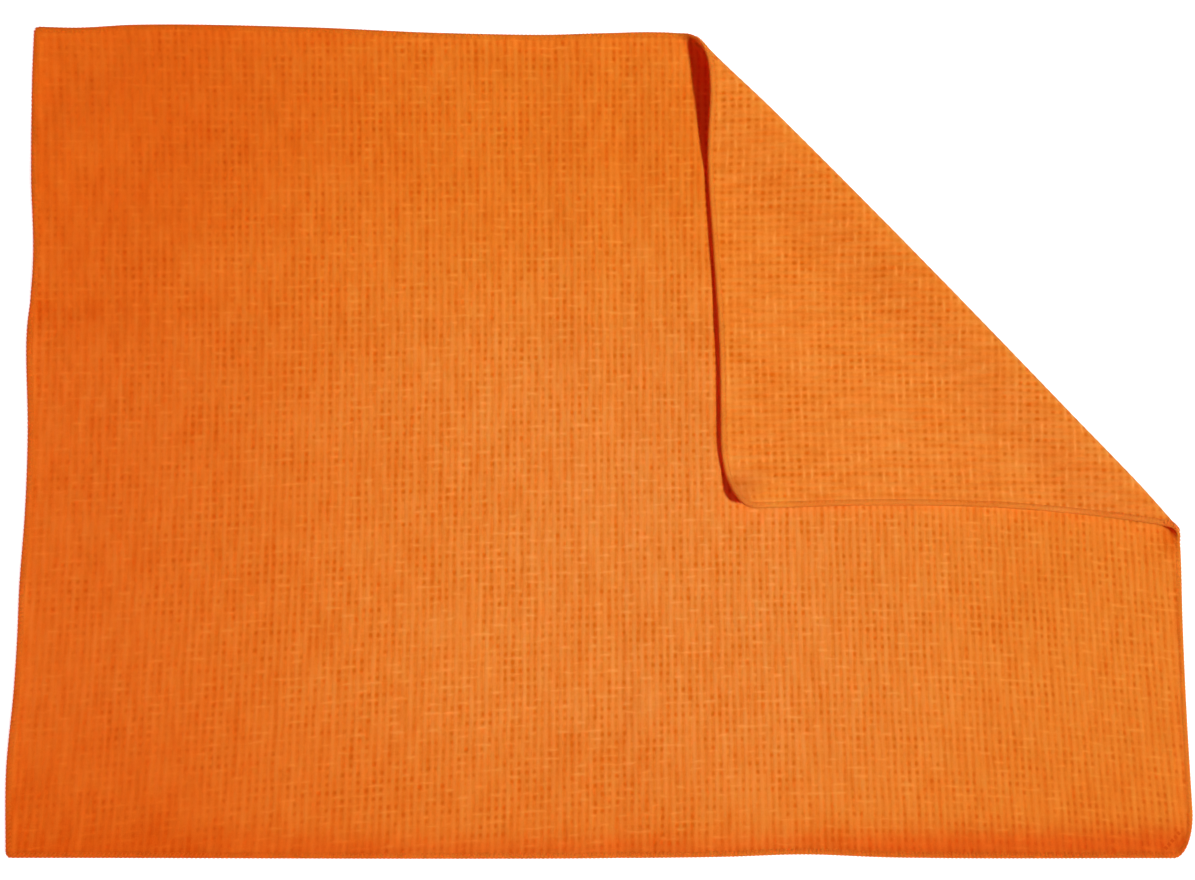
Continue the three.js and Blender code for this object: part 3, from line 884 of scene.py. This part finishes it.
def seam_tone(nodes):
    """Darker stitches in a dashed line along the corner's seam."""
    place = nodes.add("SeparateXYZ", {0: nodes.kept("seam", "Vector")})
    along, end = place.outputs[0], SEAM_LENGTH / 2
    from_middle, off = (nodes.sum("ABSOLUTE", side) for side in place.outputs[:2])
    line = nodes.step(off, low=SEAM_DARK, high=SEAM_EDGE, start=SEAM_TONE, end=0.0)
    shown = nodes.step(from_middle, low=SEAM_WHOLE * end, high=end, start=1.0, end=0.0)
    dashes = nodes.step(nodes.wave(nodes.sum("MULTIPLY", along, 1 / SEAM_STITCH)), low=0.2, high=0.5)
    return nodes.sum("MULTIPLY", nodes.sum("MULTIPLY", line, shown), dashes)


def waffle_microfibre():
    """Dyed microfibre in a waffle weave. Ribs are lighter, partly a painted highlight, and pits between them
    darker, a painted shade, and broken bars cross them. The back is more even. The weave is blurred where the
    red painted shade is strong, and painted shade darkens creases and rims. The hem is plain, with a darker
    needle line, and a short dashed seam crosses one corner."""
    nodes = Nodes("waffle microfibre")
    weave = nodes.kept("weave", "Vector")
    rib, row, pit, bar = weave_parts(nodes, weave)
    back, edge = nodes.kept("back"), nodes.kept("edge_mm")
    # Ribs lighter, partly a painted highlight; pits darker, a painted shade
    ribs = nodes.step(back, low=0.0, high=1.0, start=RIB_HIGHLIGHT_TONE, end=BACK_RIBS * RIB_HIGHLIGHT_TONE)
    rows = nodes.step(back, low=0.0, high=1.0, start=0.0, end=BACK_ROWS)
    tone = nodes.sum("MULTIPLY", nodes.sum("SUBTRACT", rib, 0.5), ribs)
    tone = nodes.sum("MULTIPLY_ADD", nodes.sum("SUBTRACT", row, 0.5), rows, tone)
    tone = nodes.sum("MULTIPLY_ADD", pit, PIT_SHADE_TONE, tone)
    tone = nodes.sum("MULTIPLY_ADD", bar, BAR_TONE, tone)
    # The weave fades where the red painted shade is strong
    blurred = nodes.step(nodes.kept("painted_red_shade"), low=0.3, high=1.3, start=1.0, end=WEAVE_BLURRED)
    woven = nodes.sum("MULTIPLY", nodes.step(edge, low=1.0, high=WEAVE_START), blurred)
    tone = nodes.sum("MULTIPLY_ADD", tone, woven, MEAN_TONE)

    streaks = nodes.noise(weave, scale=1.0, roughness=0.6, stretch=(0.8, 0.2, 1))
    blotches = nodes.noise(weave, scale=0.06, detail=3.0, roughness=0.55)
    fuzz = nodes.noise(weave, scale=7.0, roughness=0.7, stretch=(1, 0.8, 1))
    for noise, strength in ((streaks, STREAK_TONE), (blotches, BLOTCH_TONE), (fuzz, FUZZ_TONE)):
        tone = nodes.sum("MULTIPLY_ADD", nodes.sum("SUBTRACT", noise, 0.5), strength, tone)
    off_line = nodes.sum("ABSOLUTE", nodes.sum("SUBTRACT", edge, NEEDLE_LINE))
    needle = nodes.step(off_line, low=0.2, high=0.8, start=NEEDLE_TONE, end=0.0)
    # The painted crease shade darkens creases and rims
    for line in (needle, nodes.kept("painted_crease_shade"), seam_tone(nodes)):
        tone = nodes.sum("ADD", tone, line)
    height = nodes.sum("MULTIPLY_ADD", fuzz, FUZZ_RISE, nodes.sum("MULTIPLY", bar, BAR_RISE))
    height = nodes.sum("MULTIPLY_ADD", pit, PIT_RISE, height)
    return microfibre(nodes, dyed_and_shaded(nodes, tone), height, rise=0.0004)


def hem_thread():
    """Textured overlock thread in the cloth's colour, with the same painted shade of the light falling off
    and its red.
    """
    nodes = Nodes("hem thread")
    fluff = nodes.noise(nodes.add("TexCoord", {}).outputs["Object"], scale=2500.0, roughness=0.6)
    tone = nodes.sum("MULTIPLY_ADD", nodes.sum("SUBTRACT", fluff, 0.5), FLUFF_TONE, THREAD_TONE)
    return microfibre(nodes, dyed_and_shaded(nodes, tone), fluff, rise=0.0001)


def make_floor():
    """A wide plain floor, just under the cloth. It glows a little so that it stays white in the shade, but
    not where the cloth covers it: inside three borders, which lie a little inside the cloth's outline."""
    floor = bpy.data.objects.new("floor", bpy.data.meshes.new("floor"))
    signs = ((-1, -1), (1, -1), (1, 1), (-1, 1))
    corners = [(across * FLOOR_HALF, up * FLOOR_HALF, FLOOR_LEVEL) for across, up in signs]
    floor.data.from_pydata(corners, [], [(0, 1, 2, 3)])
    bpy.context.scene.collection.objects.link(floor)
    nodes = Nodes("white floor")
    place = nodes.add("TexCoord", {}).outputs["Object"]
    slant = nodes.add("VectorMath", {0: place, 1: (DIAGONAL, DIAGONAL, 0)}, operation="DOT_PRODUCT")
    beyond = nodes.sum("SUBTRACT", slant.outputs["Value"], GLOW_BORDERS[2])
    for side, border in zip(nodes.add("SeparateXYZ", {0: place}).outputs, GLOW_BORDERS[:2]):
        beyond = nodes.sum("MAXIMUM", beyond, nodes.sum("SUBTRACT", nodes.sum("ABSOLUTE", side), border))
    floor.data.materials.append(nodes.finish(nodes.add("BsdfPrincipled", {
        "Base Color": (FLOOR_GREY, FLOOR_GREY, FLOOR_GREY, 1), "Roughness": 0.8,
        "Emission Color": (1, 1, 1, 1),
        "Emission Strength": nodes.step(beyond, low=-GLOW_SOFT, high=0.0, start=0.0, end=FLOOR_GLOW),
    })))


def make_camera(shift):
    """The photograph's view: nearly straight down, with a slight tilt."""
    data = bpy.data.cameras.new("camera")
    data.sensor_width = SENSOR_WIDTH
    data.lens = SENSOR_WIDTH * FOCAL_LENGTH / IMAGE_WIDTH
    camera = bpy.data.objects.new("camera", data)
    turn = Euler(CAMERA_TURN, "ZYX").to_matrix().to_4x4()
    look_at = Matrix.Translation((LOOK_AT[0] * MM - shift[0] * MM, LOOK_AT[1] * MM - shift[1] * MM, 0))
    camera.matrix_world = look_at @ turn @ Matrix.Translation((0, 0, CAMERA_DISTANCE * MM))
    bpy.context.scene.collection.objects.link(camera)
    bpy.context.scene.camera = camera


def make_lamp(name, place, strength, spread, colour):
    """A distant lamp that shines from its place towards the towel, as wide as the angle of its spread."""
    lamp = bpy.data.objects.new(name, bpy.data.lights.new(name, "SUN"))
    lamp.data.energy = strength
    lamp.data.angle = spread
    lamp.data.color = colour
    lamp.location = place
    lamp.rotation_euler = Vector(place).to_track_quat("Z", "Y").to_euler()
    bpy.context.scene.collection.objects.link(lamp)


def make_sky(strength):
    """Faint even light from all round. Where the camera sees past the floor, it looks plain white."""
    world = bpy.data.worlds.new("studio")
    world.use_nodes = True
    nodes, links = world.node_tree.nodes, world.node_tree.links
    light, backdrop = nodes["Background"], nodes.new("ShaderNodeBackground")
    light.inputs["Strength"].default_value = strength
    for background in (light, backdrop):
        background.inputs["Color"].default_value = (1, 1, 1, 1)
    either = nodes.new("ShaderNodeMixShader")
    links.new(nodes.new("ShaderNodeLightPath").outputs["Is Camera Ray"], either.inputs[0])
    links.new(light.outputs[0], either.inputs[1])
    links.new(backdrop.outputs[0], either.inputs[2])
    links.new(either.outputs[0], nodes["World Output"].inputs["Surface"])
    bpy.context.scene.world = world


towel, shift = make_towel()
thread = make_thread(shift)
towel.data.materials.append(waffle_microfibre())
thread.data.materials.append(hem_thread())
for piece in (towel, thread):
    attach(piece, "root")
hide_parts("towel")

# The two lamps' light adds up to white where both shine. In the key lamp's shade the fill lamp gives the red
# light that comes through orange cloth.
make_floor()
make_camera(shift)
make_lamp("key lamp", place=(2.95, -1.30, 3.85), strength=3.55, spread=0.10, colour=(0.72, 1.0, 1.0))
make_lamp("red fill lamp", place=(-2.0, 0.3, 4.0), strength=0.93, spread=0.30, colour=(1.0, 0.07, 0.06))
make_sky(strength=0.04)
bpy.context.scene.view_settings.view_transform = "Standard"
